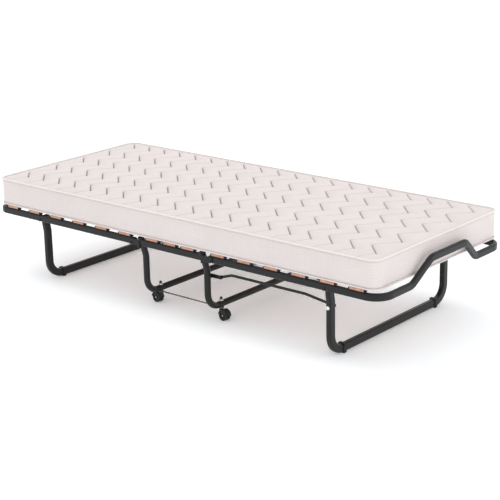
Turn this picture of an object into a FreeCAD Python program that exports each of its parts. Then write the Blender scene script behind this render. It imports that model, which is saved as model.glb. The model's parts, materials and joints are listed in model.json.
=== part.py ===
"""Rollaway bed: a two-fold slatted steel frame on casters, with its mattress.

Frame of the part: millimetres, +Z up, origin on the floor under the middle of the whole bed,
+X towards the head end (the end with the hoop), -Y the near side.
"""
import FreeCAD, Part
import math
import os

import Sketcher

from FreeCAD import Placement, Rotation, Vector

# ---------------------------------------------------------------- driving dimensions

DIMENSIONS = [
    # mattress
    ("mattress_length", 1892), ("mattress_width", 800), ("mattress_thick", 110),
    ("mattress_corner", 48), ("mattress_foot_x", -962), ("fold_gap", 0.6),
    # frame rails: flat-sided tube, bent on edge
    ("foot_end", -966), ("head_end", 951), ("frame_half_width", 400),
    ("rail_width", 17), ("rail_height", 28), ("rail_corner", 7), ("tube_wall", 1.5),
    ("rail_top", 283), ("foot_bend", 36), ("head_bend", 64),
    # hoop that stops the mattress at the head end
    ("hoop_foot_y", 206), ("hoop_top_y", 110), ("hoop_rise", 78), ("hoop_lean", 15),
    ("hoop_bend", 40),
    # slats
    ("slat_width", 60), ("slat_thick", 8), ("slat_length", 798), ("slat_edge", 2.5),
    ("slat_pitch_foot", 127.2), ("slat_first_foot", -873), ("slat_pitch_middle", 90),
    ("slat_first_middle", -94), ("slat_pitch_head", 123.2), ("slat_first_head", 233),
    ("holder_base", 2), ("holder_cheek", 3.5), ("holder_height", 8.5),
    # fold hinges
    ("hinge_x", 200), ("hinge_z", 262.5), ("hinge_end_radius", 22), ("pin_radius", 4),
    ("pin_clearance", 0.06), ("ear_thick", 3), ("ear_gap", 0.4), ("ear_radius", 11),
    ("web_length", 13), ("web_drop", 14), ("rivet_head_radius", 6), ("rivet_head_thick", 2),
    # outer legs
    ("leg_x", 714), ("leg_tube_width", 31), ("leg_tube_thick", 22), ("leg_tube_corner", 6.5),
    ("leg_bend", 62), ("leg_gap", 0.4), ("leg_jog", 6), ("leg_jog_bend", 60),
    ("leg_top_z", 275), ("jog_top_z", 242), ("jog_low_z", 208),
    ("pad_thick", 2.5), ("pad_width", 15), ("pad_y", 293),
    # wheel legs
    ("wheel_leg_x", 155), ("wheel_leg_radius", 12.5), ("wheel_leg_y", 368.5),
    ("wheel_leg_top_y", 392), ("wheel_leg_top_z", 286), ("wheel_leg_knee_z", 212),
    ("wheel_leg_bend", 56), ("wheel_leg_low_z", 61.5), ("wheel_leg_cap", 3),
    ("cap_plug", 10), ("cap_clearance", 0.1),
    # links that swing the outer legs
    ("link_drop", 75.5), ("link_height", 10), ("link_thick", 5), ("link_rise", 16.75),
    ("link_y", 342), ("link_corner", 1.5), ("link_knee_inner", 50), ("link_knee_outer", 124),
    ("link_bend", 70), ("link_eye", 7), ("link_pin_radius", 3), ("link_bolt_head", 7),
    ("link_gap", 0.5), ("lug_thick", 4), ("lug_boss", 12), ("lug_root", 3),
    # casters
    ("caster_y", 295), ("wheel_radius", 20), ("wheel_width", 9), ("wheel_gap", 6),
    ("caster_trail", 18), ("hood_shell", 3), ("hood_clear", 1), ("hood_edge", 1),
    ("hood_top", 45.6), ("hood_web", 9), ("boss_radius", 8.5), ("boss_low", 25),
    ("stem_radius", 4), ("stem_low", 34), ("stem_bore_low", 33), ("axle_radius", 2.5),
    ("axle_proud", 0.5), ("tread_round", 2.5), ("dish_depth", 2), ("dish_rim", 6),
    ("hub_wall", 3), ("hub_inset", 0.6),
    # tops of the caster stems, on the wheel legs
    ("stem_clearance", 0.1), ("washer_radius", 8.5), ("washer_thick", 2), ("nut_radius", 6.5),
    ("nut_thick", 4), ("stem_cap_radius", 5.5), ("stem_cap_height", 4.5),
    # spacer rods between the caster stems
    ("rod_radius", 2.8), ("rod_z", 47.3), ("rod_start", 9), ("rod_eye_radius", 10.5),
    ("rod_eye_thick", 2.8),
]
OVERSHOOT = 10  # how far a cutting tool runs past what it cuts

doc = FreeCAD.newDocument("rollaway_bed")
sheet = doc.addObject("Spreadsheet::Sheet", "dimensions")
for row, (alias, value) in enumerate(DIMENSIONS, start=1):
    sheet.set(f"A{row}", alias)
    sheet.set(f"B{row}", str(value))
    sheet.setAlias(f"B{row}", alias)
sheet_aliases = {alias for alias, value in DIMENSIONS}
nodes = []
doc.recompute()


def size(alias):
    """A driving dimension's value."""
    return float(getattr(sheet, alias))


def bind(thing, **sizes):
    """Tie properties of an object to the sheet; a name's double underscore stands for a dot."""
    for prop, expression in sizes.items():
        words = expression.split(" ")
        linked = ["dimensions." + word if word in sheet_aliases else word for word in words]
        thing.setExpression(prop.replace("__", "."), " ".join(linked))


def publish(thing, node):
    """Give an object its node name; it is then written to a file of that name."""
    thing.Label = node
    nodes.append(thing)
    return thing


# ---------------------------------------------------------------- building blocks

def box(name, length, width, height, corner, rotation=None):
    """A box whose three sides are expressions, with its low corner at a point."""
    block = doc.addObject("Part::Box", name)
    bind(block, Length=length, Width=width, Height=height)
    block.Placement = Placement(Vector(*corner), rotation or Rotation())
    return block


def cylinder(name, radius, height, base, axis=(0, 0, 1)):
    """A round bar with its base centre at a point and its length along an axis."""
    bar = doc.addObject("Part::Cylinder", name)
    bind(bar, Radius=radius, Height=height)
    bar.Placement = Placement(Vector(*base), Rotation(Vector(0, 0, 1), Vector(*axis)))
    return bar


def cut(name, base, tools):
    """The base less one tool, or less several tools joined."""
    result = doc.addObject("Part::Cut", name)
    result.Base = base
    result.Tool = tools[0] if len(tools) == 1 else fuse(name + "_tools", tools)
    return result


def fuse(name, shapes):
    joined = doc.addObject("Part::MultiFuse", name)
    joined.Shapes = shapes
    return joined


def group(name, shapes):
    """Separate solids kept side by side in one node."""
    together = doc.addObject("Part::Compound", name)
    together.Links = shapes
    return together


def inset(alias, wall):
    """Value and expression of a dimension, less a wall on both sides when one is given."""
    if wall is None:
        return size(alias), alias
    return size(alias) - 2 * size(wall), f"{alias} - 2 * {wall}"


def rounded_rectangle(sketch, width, height, corner, wall=None):
    """Fill a sketch with a rounded rectangle about its origin, width along its X."""
    wide, wide_words = inset(width, wall)
    tall, tall_words = inset(height, wall)
    radius = size(corner) - (size(wall) if wall else 0)
    x = wide / 2 - radius
    y = tall / 2 - radius
    lines = [((-x, -tall / 2), (x, -tall / 2)), ((wide / 2, -y), (wide / 2, y)),
             ((x, tall / 2), (-x, tall / 2)), ((-wide / 2, y), (-wide / 2, -y))]
    for start, end in lines:
        sketch.addGeometry(Part.LineSegment(Vector(*start), Vector(*end)))
    centres = [(x, -y), (x, y), (-x, y), (-x, -y)]
    for turn, centre in enumerate(centres):
        circle = Part.Circle(Vector(*centre), Vector(0, 0, 1), radius)
        first = math.radians(90 * turn - 90)
        sketch.addGeometry(Part.ArcOfCircle(circle, first, first + math.pi / 2))
    constraint = sketch_constraint(sketch)
    for side in range(4):
        constraint("Tangent", side, 2, side + 4, 1)
        constraint("Tangent", side + 4, 2, (side + 1) % 4, 1)
    for side, way in enumerate(("Horizontal", "Vertical", "Horizontal", "Vertical")):
        constraint(way, side)
    for arc in (4, 5, 6):
        constraint("Equal", arc, arc + 1)
    constraint("Symmetric", 4, 3, 6, 3, -1, 1)
    corner_words = f"{corner} - {wall}" if wall else corner
    driving = [(constraint("Radius", 4, radius), corner_words),
               (constraint("DistanceX", 6, 3, 4, 3, 2 * x), f"{wide_words} - 2 * ( {corner_words} )"),
               (constraint("DistanceY", 4, 3, 6, 3, 2 * y), f"{tall_words} - 2 * ( {corner_words} )")]
    for index, words in driving:
        bind(sketch, **{f"Constraints[{index}]": words})


def sketch_constraint(sketch):
    """A function that adds one constraint to a sketch and returns its index."""
    def add(*arguments):
        return sketch.addConstraint(Sketcher.Constraint(*arguments))
    return add


def circle_outline(sketch, radius, wall=None):
    """Fill a sketch with a circle about its origin."""
    value = size(radius) - (size(wall) if wall else 0)
    sketch.addGeometry(Part.Circle(Vector(), Vector(0, 0, 1), value))
    constraint = sketch_constraint(sketch)
    constraint("Coincident", 0, 3, -1, 1)
    index = constraint("Radius", 0, value)
    bind(sketch, **{f"Constraints[{index}]": f"{radius} - {wall}" if wall else radius})


def bent_path(corners, radii):
    """Straight runs joined by tangent arcs; radii are those of the inner corners in order."""
    edges = []
    start = corners[0]
    for before, corner, after, radius in zip(corners, corners[1:], corners[2:], radii):
        back = (before - corner).normalize()
        ahead = (after - corner).normalize()
        half = back.getAngle(ahead) / 2
        inward = (back + ahead).normalize()
        first = corner + back * (radius / math.tan(half))
        last = corner + ahead * (radius / math.tan(half))
        deepest = corner + inward * (radius / math.sin(half) - radius)
        edges += [Part.LineSegment(start, first), Part.Arc(first, deepest, last)]
        start = last
    edges.append(Part.LineSegment(start, corners[-1]))
    return Part.Wire([edge.toShape() for edge in edges])


def sweep(name, path, draw, side):
    """Sweep the outline that draw makes along a path; its sketch's X starts along side."""
    start = path.Shape.Vertexes[0].Point
    along = path.Shape.Edges[0].tangentAt(path.Shape.Edges[0].FirstParameter)
    outline = doc.addObject("Sketcher::SketchObject", name + "_outline")
    draw(outline)
    outline.Placement = Placement(start, Rotation(Vector(*side), Vector(), along, "ZXY"))
    solid = doc.addObject("Part::Sweep", name)
    solid.Sections = [outline]
    solid.Spine = (path, [f"Edge{i + 1}" for i in range(len(path.Shape.Edges))])
    solid.Solid = True
    solid.Frenet = False
    return solid


def bent_tube(name, corners, radii, draw, side):
    """A hollow tube and its solid core; draw(sketch, wall) makes the outer or inner outline."""
    path = doc.addObject("Part::Feature", name + "_path")
    path.Shape = bent_path([Vector(*point) for point in corners], radii)
    outer = sweep(name + "_outer", path, lambda sketch: draw(sketch, None), side)
    inner = sweep(name + "_inner", path, lambda sketch: draw(sketch, "tube_wall"), side)
    return outer, inner


def rail_outline(sketch, wall):
    rounded_rectangle(sketch, "rail_width", "rail_height", "rail_corner", wall)


def leg_outline(sketch, wall):
    rounded_rectangle(sketch, "leg_tube_width", "leg_tube_thick", "leg_tube_corner", wall)


def link_outline(sketch):
    rounded_rectangle(sketch, "link_height", "link_thick", "link_corner")


def wheel_leg_outline(sketch, wall):
    circle_outline(sketch, "wheel_leg_radius", wall)


# ---------------------------------------------------------------- places worked out from the sheet

rail_z = size("rail_top") - size("rail_height") / 2
rail_y = size("frame_half_width") - size("rail_width") / 2
rail_inner_y = size("frame_half_width") - size("rail_width")
slat_z = size("rail_top") + size("holder_base")
mattress_z = slat_z + size("slat_thick")
hinge_x = size("hinge_x")
hinge_z = size("hinge_z")
link_z = hinge_z - size("link_drop")
leg_upper_y = rail_inner_y - size("leg_gap") - size("leg_tube_width") / 2
leg_y = leg_upper_y - size("leg_jog")
leg_bar_z = size("pad_thick") + size("leg_tube_width") / 2
SIDES = (("near", -1), ("far", 1))
ENDS = (("foot", -1), ("head", 1))
ACROSS = f"frame_half_width * 2 + {2 * OVERSHOOT}"
across_y = -size("frame_half_width") - OVERSHOOT


# ---------------------------------------------------------------- outer sections: frames

def hinge_rounding(end, sign):
    """Tools that round a section's rail ends about the hinge and drill them for the pins."""
    reach = size("hinge_end_radius")
    low_x = min(sign * hinge_x, sign * (hinge_x - 2 * reach))
    low_z = rail_z - size("rail_height") / 2 - OVERSHOOT
    block = box(end + "_end_block", "hinge_end_radius * 2", ACROSS,
                f"rail_height + {2 * OVERSHOOT}", (low_x, across_y, low_z))
    keep = cylinder(end + "_end_round", "hinge_end_radius", ACROSS,
                    (sign * hinge_x, across_y, hinge_z), (0, 1, 0))
    rounding = cut(end + "_end_rounding", block, [keep])
    holes = []
    for name, radius, x in (("hinge", "pin_radius + pin_clearance", hinge_x),
                            ("leg", "pin_radius", size("leg_x"))):
        holes.append(cylinder(f"{end}_{name}_hole", radius, ACROSS,
                              (sign * x, across_y, hinge_z), (0, 1, 0)))
    return [rounding] + holes


def section_frame(end, sign, corners, radii):
    """A section's one-piece frame tube, rounded and drilled at its hinge ends."""
    outer, inner = bent_tube(end + "_rail", corners, radii, rail_outline, (0, 1, 0))
    frame = cut(end + "_frame_tube", outer, [inner] + hinge_rounding(end, sign))
    return publish(frame, end + "_frame")


inner_end = hinge_x - size("hinge_end_radius")
foot_x = size("foot_end") + size("rail_width") / 2
head_x = size("head_end") - size("rail_width") / 2
section_frame("foot", -1,
              [(-inner_end, -rail_y, rail_z), (foot_x, -rail_y, rail_z),
               (foot_x, rail_y, rail_z), (-inner_end, rail_y, rail_z)],
              [size("foot_bend")] * 2)

hoop_x = head_x + size("hoop_lean")
hoop_z = rail_z + size("hoop_rise")
head_corners = [(inner_end, -rail_y, rail_z), (head_x, -rail_y, rail_z),
                (head_x, -size("hoop_foot_y"), rail_z), (hoop_x, -size("hoop_top_y"), hoop_z),
                (hoop_x, size("hoop_top_y"), hoop_z), (head_x, size("hoop_foot_y"), rail_z),
                (head_x, rail_y, rail_z), (inner_end, rail_y, rail_z)]
head_radii = [size("head_bend")] + [size("hoop_bend")] * 4 + [size("head_bend")]
section_frame("head", 1, head_corners, head_radii)


# ---------------------------------------------------------------- wheel legs and middle rails

def hinge_bracket(end, side, sign, way):
    """Ears that hold a section's rail end, with the short web that joins them to the leg."""
    x = sign * hinge_x
    leg_x = sign * size("wheel_leg_x")
    thick = size("ear_thick")
    name = f"{end}_{side}_bracket"
    outer_y = size("frame_half_width") + size("ear_gap")
    inner_y = rail_inner_y - size("ear_gap") - thick
    parts = []
    for label, y, centre_z, tall in (("outer", outer_y, rail_z, "ear_radius * 2"),
                                     ("inner", inner_y, hinge_z, "ear_radius")):
        y_low = y if way > 0 else -y - thick
        parts.append(box(f"{name}_{label}_arm", "hinge_x - wheel_leg_x", "ear_thick", tall,
                         (min(x, leg_x), y_low, centre_z - size("ear_radius"))))
        parts.append(cylinder(f"{name}_{label}_eye", "ear_radius", "ear_thick",
                              (x, y_low, centre_z), (0, 1, 0)))
    web_y = min(way * (outer_y + thick), way * inner_y)
    web_x = leg_x if sign > 0 else leg_x - size("web_length")
    parts.append(box(name + "_web", "web_length", "rail_width + 2 * ( ear_gap + ear_thick )",
                     "ear_radius * 2", (web_x, web_y, hinge_z - size("web_drop"))))
    return parts


def lug_face():
    """How far out the lug's inner face stands, just clear of the link."""
    return size("link_y") + size("link_thick") / 2 + size("link_gap")


def link_lug(end, sign, way):
    """Flat lug that carries the link's fixed pivot, on a short boss on the wheel leg."""
    inner = lug_face()
    plate_y = min(way * inner, way * (inner + size("lug_thick")))
    leg_x = sign * size("wheel_leg_x")
    low_z = link_z - size("link_eye")
    arm = box(end + "_lug_arm", "hinge_x - wheel_leg_x", "lug_thick", "link_eye * 2",
              (min(leg_x, sign * hinge_x), plate_y, low_z))
    eye = cylinder(end + "_lug_eye", "link_eye", "lug_thick", (sign * hinge_x, plate_y, link_z),
                   (0, 1, 0))
    root = size("wheel_leg_y") - size("wheel_leg_radius") + size("lug_root")
    boss = box(end + "_lug_boss", "lug_boss", str(root - inner), "link_eye * 2",
               (leg_x - size("lug_boss") / 2, min(way * inner, way * root), low_z))
    return [arm, eye, boss]


def wheel_leg(end, sign, link_way):
    """Round tube bent to a U, with hinge brackets and the lug for this end's link."""
    x = sign * size("wheel_leg_x")
    top_y = size("wheel_leg_top_y")
    low_y = size("wheel_leg_y")
    corners = [(x, -top_y, size("wheel_leg_top_z")), (x, -low_y, size("wheel_leg_knee_z")),
               (x, -low_y, size("wheel_leg_low_z")), (x, low_y, size("wheel_leg_low_z")),
               (x, low_y, size("wheel_leg_knee_z")), (x, top_y, size("wheel_leg_top_z"))]
    bend = size("wheel_leg_bend")
    outer, inner = bent_tube(end + "_wheel_leg", corners, [bend] * 4, wheel_leg_outline, (1, 0, 0))
    fittings = link_lug(end, sign, link_way)
    for side, way in SIDES:
        fittings += hinge_bracket(end, side, sign, way)
    body = fuse(end + "_wheel_leg_body", [outer] + fittings)
    holes = [inner]
    tube_low = size("wheel_leg_low_z") - size("wheel_leg_radius")
    for side, way in SIDES:
        holes.append(cylinder(f"{end}_{side}_stem_hole", "stem_radius + stem_clearance",
                              f"wheel_leg_radius * 2 + {2 * OVERSHOOT}",
                              (x, way * size("caster_y"), tube_low - OVERSHOOT)))
    holes.append(cylinder(end + "_pin_hole", "pin_radius", ACROSS,
                          (sign * hinge_x, across_y, hinge_z), (0, 1, 0)))
    low = min(link_way * (lug_face() - OVERSHOOT), link_way * (lug_face() + OVERSHOOT))
    holes.append(cylinder(end + "_lug_hole", "link_pin_radius", str(2 * OVERSHOOT),
                          (sign * hinge_x, low, link_z), (0, 1, 0)))
    publish(cut(end + "_wheel_leg_tube", body, holes), "wheel_leg_" + end)
    return outer


LINK_WAY = {"foot": 1, "head": -1}
leg_cores = [wheel_leg(end, sign, LINK_WAY[end]) for end, sign in ENDS]

for side, way in SIDES:
    rail_ends = [(-size("wheel_leg_x"), way * rail_y, rail_z), (size("wheel_leg_x"), way * rail_y, rail_z)]
    outer, inner = bent_tube(side + "_middle_rail", rail_ends, [], rail_outline, (0, 1, 0))
    publish(cut(side + "_middle_tube", outer, [inner] + leg_cores), "middle_rail_" + side)


def leg_top_caps():
    """Plastic caps pushed into the open tops of the wheel legs."""
    caps = []
    for end, sign in ENDS:
        for side, way in SIDES:
            top = Vector(sign * size("wheel_leg_x"), way * size("wheel_leg_top_y"),
                         size("wheel_leg_top_z"))
            knee = Vector(top.x, way * size("wheel_leg_y"), size("wheel_leg_knee_z"))
            up = (top - knee).normalize()
            lid = cylinder(f"{end}_{side}_cap_lid", "wheel_leg_radius", "wheel_leg_cap", top, up)
            plug = cylinder(f"{end}_{side}_cap_plug", "wheel_leg_radius - tube_wall - cap_clearance",
                            "cap_plug", top - up * size("cap_plug"), up)
            caps.append(fuse(f"{end}_{side}_cap", [lid, plug]))
    return caps


publish(group("leg_top_cap_group", leg_top_caps()), "leg_top_caps")


# ---------------------------------------------------------------- pins and rivets

def rivet(name, radius, head, x, z, y_low, y_high):
    """A pin along Y with a low head on each end."""
    head_thick = size("rivet_head_thick")
    shank = cylinder(name + "_shank", radius, str(y_high - y_low), (x, y_low, z), (0, 1, 0))
    heads = [cylinder(f"{name}_head_{i}", head, "rivet_head_thick", (x, y, z), (0, 1, 0))
             for i, y in enumerate((y_low - head_thick, y_high))]
    return fuse(name, [shank] + heads)


pivots = []
for end, sign in ENDS:
    for side, way in SIDES:
        outside = size("frame_half_width") + size("ear_gap") + size("ear_thick")
        inside = rail_inner_y - size("ear_gap") - size("ear_thick")
        low, high = sorted((way * inside, way * outside))
        pivots.append(rivet(f"{end}_{side}_hinge_pin", "pin_radius", "rivet_head_radius",
                            sign * hinge_x, hinge_z, low, high))
    way = LINK_WAY[end]
    link_inside = size("link_y") - size("link_thick") / 2 - size("link_gap")
    low, high = sorted((way * link_inside, way * (lug_face() + size("lug_thick"))))
    pivots.append(rivet(end + "_link_pin", "link_pin_radius", "rivet_head_radius",
                        sign * hinge_x, link_z, low, high))
publish(group("middle_pivot_group", pivots), "hinge_pins")

for end, sign in ENDS:
    leg_pivots = []
    for side, way in SIDES:
        inside = leg_upper_y - size("leg_tube_width") / 2 - size("leg_gap")
        low, high = sorted((way * inside, way * size("frame_half_width")))
        leg_pivots.append(rivet(f"{end}_{side}_leg_pin", "pin_radius", "rivet_head_radius",
                                sign * size("leg_x"), hinge_z, low, high))
    publish(group(end + "_leg_pin_group", leg_pivots), end + "_leg_rivets")


# ---------------------------------------------------------------- outer legs and their links

def outer_leg(end, sign):
    """Flat-sided tube bent to a U that stands on two clip-on pads."""
    x = sign * size("leg_x")
    heights = (size("leg_top_z"), size("jog_top_z"), size("jog_low_z"), leg_bar_z)
    offsets = (leg_upper_y, leg_upper_y, leg_y, leg_y)
    near = [(x, -y, z) for y, z in zip(offsets, heights)]
    corners = near + [(x, -y, z) for x, y, z in reversed(near)]
    jog, bend = size("leg_jog_bend"), size("leg_bend")
    radii = [jog, jog, bend, bend, jog, jog]
    outer, inner = bent_tube(end + "_leg", corners, radii, leg_outline, (0, 1, 0))
    holes = [inner]
    holes.append(cylinder(end + "_leg_pivot_hole", "pin_radius + pin_clearance", ACROSS,
                          (x, across_y, hinge_z), (0, 1, 0)))
    way = LINK_WAY[end]
    reach = size("leg_tube_width") / 2 + OVERSHOOT
    holes.append(cylinder(end + "_leg_bolt_hole", "link_pin_radius",
                          f"leg_tube_width + {2 * OVERSHOOT}", (x, way * leg_y - reach, link_z),
                          (0, 1, 0)))
    publish(cut(end + "_leg_body", outer, holes), end + "_leg_tube")


def leg_pads(end, sign):
    """Plastic clips round the leg's bar, just past its bends; the bed stands on them."""
    pads = []
    for side, way in SIDES:
        name = f"{end}_{side}_pad"
        y = way * size("pad_y") - size("pad_width") / 2
        x = sign * size("leg_x")
        blocks = []
        for layer in ("outer", "inner"):
            outline = doc.addObject("Sketcher::SketchObject", f"{name}_{layer}_outline")
            outline.Placement = Placement(Vector(x, y, leg_bar_z), Rotation(Vector(1, 0, 0), -90))
            if layer == "outer":
                draw_pad(outline)
            else:
                rounded_rectangle(outline, "leg_tube_thick", "leg_tube_width", "leg_tube_corner")
            block = doc.addObject("Part::Extrusion", f"{name}_{layer}")
            block.Base = outline
            block.DirMode = "Custom"
            block.Dir = Vector(0, 1, 0)
            block.Solid = True
            bind(block, LengthFwd="pad_width")
            blocks.append(block)
        pads.append(cut(name, blocks[0], [blocks[1]]))
    publish(group(end + "_pad_group", pads), end + "_leg_pads")


def draw_pad(sketch):
    """Outline of a pad: the leg's own outline grown by the pad's thickness."""
    wide = size("leg_tube_thick") / 2 + size("pad_thick")
    tall = size("leg_tube_width") / 2 + size("pad_thick")
    points = [(-wide, -tall), (wide, -tall), (wide, tall), (-wide, tall)]
    for i, start in enumerate(points):
        end = points[(i + 1) % 4]
        sketch.addGeometry(Part.LineSegment(Vector(*start), Vector(*end)))
    constraint = sketch_constraint(sketch)
    for i, way in enumerate(("Horizontal", "Vertical", "Horizontal", "Vertical")):
        constraint("Coincident", i, 2, (i + 1) % 4, 1)
        constraint(way, i)
    constraint("Symmetric", 0, 1, 2, 1, -1, 1)
    across = constraint("DistanceX", 0, 1, 0, 2, 2 * wide)
    along = constraint("DistanceY", 1, 1, 1, 2, 2 * tall)
    bind(sketch, **{f"Constraints[{across}]": "leg_tube_thick + 2 * pad_thick",
                    f"Constraints[{along}]": "leg_tube_width + 2 * pad_thick"})


def leg_link(end, sign):
    """Bar that keeps the leg upright while its section folds, and its bolt in the leg."""
    way = LINK_WAY[end]
    y = way * size("link_y")
    high = link_z + size("link_rise")
    stations = [(hinge_x, link_z), (hinge_x + size("link_knee_inner"), high),
                (size("leg_x") - size("link_knee_outer"), high), (size("leg_x"), link_z)]
    corners = [Vector(sign * x, y, z) for x, z in stations]
    path = doc.addObject("Part::Feature", end + "_link_path")
    path.Shape = bent_path(corners, [size("link_bend")] * 2)
    bar = sweep(end + "_link_bar", path, link_outline, (0, 0, 1))
    low = y - size("link_thick") / 2
    eyes = [cylinder(f"{end}_link_eye_{i}", "link_eye", "link_thick", (point.x, low, link_z), (0, 1, 0))
            for i, point in enumerate((corners[0], corners[-1]))]
    holes = [cylinder(f"{end}_link_hole_{i}", "link_pin_radius + pin_clearance",
                      f"link_thick + {2 * OVERSHOOT}", (point.x, low - OVERSHOOT, link_z), (0, 1, 0))
             for i, point in enumerate((corners[0], corners[-1]))]
    publish(cut(end + "_link_part", fuse(end + "_link_blank", [bar] + eyes), holes), end + "_leg_link")
    inside = size("link_y") - size("link_thick") / 2 - size("link_gap")
    outside = leg_y + size("leg_tube_width") / 2
    low, high = sorted((way * inside, way * outside))
    bolt = rivet(end + "_link_bolt_part", "link_pin_radius", "link_bolt_head",
                 sign * size("leg_x"), link_z, low, high)
    publish(bolt, end + "_link_bolt")


for end, sign in ENDS:
    outer_leg(end, sign)
    leg_pads(end, sign)
    leg_link(end, sign)


# ---------------------------------------------------------------- slats and their holders

SLAT_ROWS = (("foot", 6), ("middle", 3), ("head", 6))


def slat(number, words):
    """A plain board with eased edges, lying across the rails."""
    body = doc.addObject("PartDesign::Body", f"slat_body_{number:02d}")
    outline = body.newObject("Sketcher::SketchObject", f"slat_outline_{number:02d}")
    plane = next(f for f in body.Origin.OriginFeatures if f.Role == "XZ_Plane")
    outline.AttachmentSupport = [(plane, "")]
    outline.MapMode = "FlatFace"
    rounded_rectangle(outline, "slat_width", "slat_thick", "slat_edge")
    pad = body.newObject("PartDesign::Pad", f"slat_pad_{number:02d}")
    pad.Profile = outline
    pad.Midplane = True
    bind(pad, Length="slat_length")
    bind(body, Placement__Base__x=words,
         Placement__Base__z="rail_top + holder_base + slat_thick / 2")
    publish(body, f"slat_{number:02d}")


def holders(section, count, first, pitch):
    """Saddles on both rails, one under each slat end, with a cheek each side of the slat."""
    saddles = []
    for i in range(count):
        for side, way in SIDES:
            name = f"{section}_{side}_holder_{i}"
            y = rail_inner_y if way > 0 else -size("frame_half_width")
            block = box(name + "_block", "slat_width + 2 * holder_cheek", "rail_width",
                        "holder_height", (0, y, size("rail_top")))
            bind(block, Placement__Base__x=f"{first} + {i} * {pitch} - slat_width / 2 - holder_cheek")
            slot = box(name + "_slot", "slat_width", f"rail_width + {2 * OVERSHOOT}", "holder_height",
                       (0, y - OVERSHOOT, size("rail_top") + size("holder_base")))
            bind(slot, Placement__Base__x=f"{first} + {i} * {pitch} - slat_width / 2")
            saddles.append(cut(name, block, [slot]))
    publish(group(section + "_holder_group", saddles), "slat_holders_" + section)


number = 0
for section, count in SLAT_ROWS:
    first = "slat_first_" + section
    pitch = "slat_pitch_" + section
    for i in range(count):
        number += 1
        slat(number, f"{first} + {i} * {pitch}")
    holders(section, count, first, pitch)


# ---------------------------------------------------------------- casters

HEADINGS = {("foot", "near"): 175, ("head", "near"): -7, ("foot", "far"): -171, ("head", "far"): 9}


def caster(end, side, sign, way):
    """Twin-wheel swivel caster, modelled about its stem with the wheels trailing along +X."""
    name = f"caster_{end}_{side}"
    trail = size("caster_trail")
    axle_z = size("wheel_radius")
    width = "wheel_width * 2 + wheel_gap"
    half = size("wheel_width") + size("wheel_gap") / 2
    place = Placement(Vector(sign * size("wheel_leg_x"), way * size("caster_y"), 0),
                      Rotation(Vector(0, 0, 1), HEADINGS[(end, side)]))

    dome = cylinder(name + "_dome", "wheel_radius + hood_clear + hood_shell", width,
                    (trail, -half, axle_z), (0, 1, 0))
    above = box(name + "_above", "wheel_radius * 6", "wheel_radius * 6", "wheel_radius * 6",
                (-3 * axle_z, -3 * axle_z, axle_z + size("hood_edge")))
    fender = doc.addObject("Part::Common", name + "_fender")
    fender.Base = dome
    fender.Tool = above
    web = cylinder(name + "_web", "hood_web", "wheel_gap - 2 * axle_proud",
                   (trail, size("axle_proud") - size("wheel_gap") / 2, axle_z), (0, 1, 0))
    boss = cylinder(name + "_boss", "boss_radius", "hood_top - boss_low", (0, 0, size("boss_low")))
    solid = fuse(name + "_solid", [fender, web, boss])
    tools = []
    well = size("wheel_gap") / 2 - size("axle_proud")
    for edge, low in (("left", -half - OVERSHOOT), ("right", well)):
        tools.append(cylinder(f"{name}_{edge}_well", "wheel_radius + hood_clear",
                              str(half + OVERSHOOT - well), (trail, low, axle_z), (0, 1, 0)))
    tools.append(cylinder(name + "_stem_bore", "stem_radius + pin_clearance", "wheel_radius",
                          (0, 0, size("stem_bore_low"))))
    tools.append(cylinder(name + "_axle_bore", "axle_radius + pin_clearance", "wheel_radius",
                          (trail, -axle_z / 2, axle_z), (0, 1, 0)))
    hood = cut(name + "_hood_part", solid, tools)
    hood.Placement = place
    publish(hood, name + "_hood")

    axle = cylinder(name + "_axle_part", "axle_radius", width + " + 2 * axle_proud",
                    (trail, -half - size("axle_proud"), axle_z), (0, 1, 0))
    axle_node = group(name + "_axle_group", [axle])
    axle_node.Placement = place
    publish(axle_node, name + "_axle")

    for edge, low in (("left", -half), ("right", size("wheel_gap") / 2)):
        wheel = caster_wheel(f"{name}_{edge}", edge, trail, low, axle_z)
        wheel.Placement = place
        publish(wheel, f"{name}_wheel_{edge}")


def caster_wheel(name, edge, trail, low, axle_z):
    """A wheel with a rounded tread, a dished outer face and a hub that is bored for the axle."""
    disc = cylinder(name + "_disc", "wheel_radius", "wheel_width", (trail, low, axle_z), (0, 1, 0))
    tread = doc.addObject("Part::Fillet", name + "_tread")
    tread.Base = disc
    tread.Edges = [(rim, size("tread_round"), size("tread_round")) for rim in (1, 3)]
    if edge == "left":
        dish_y = low + size("dish_depth") - OVERSHOOT
        hub_y = low + size("hub_inset")
    else:
        dish_y = low + size("wheel_width") - size("dish_depth")
        hub_y = low + size("hub_wall")
    dish = cylinder(name + "_dish", "wheel_radius - dish_rim", str(OVERSHOOT), (trail, dish_y, axle_z),
                    (0, 1, 0))
    hub = cylinder(name + "_hub", "axle_radius + hub_wall", "wheel_width - hub_wall - hub_inset",
                   (trail, hub_y, axle_z), (0, 1, 0))
    bore = cylinder(name + "_bore", "axle_radius", f"wheel_width + {2 * OVERSHOOT}",
                    (trail, low - OVERSHOOT, axle_z), (0, 1, 0))
    dished = cut(name + "_dished", tread, [dish])
    return cut(name + "_part", fuse(name + "_blank", [dished, hub]), [bore])


for end, sign in ENDS:
    for side, way in SIDES:
        caster(end, side, sign, way)


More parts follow.
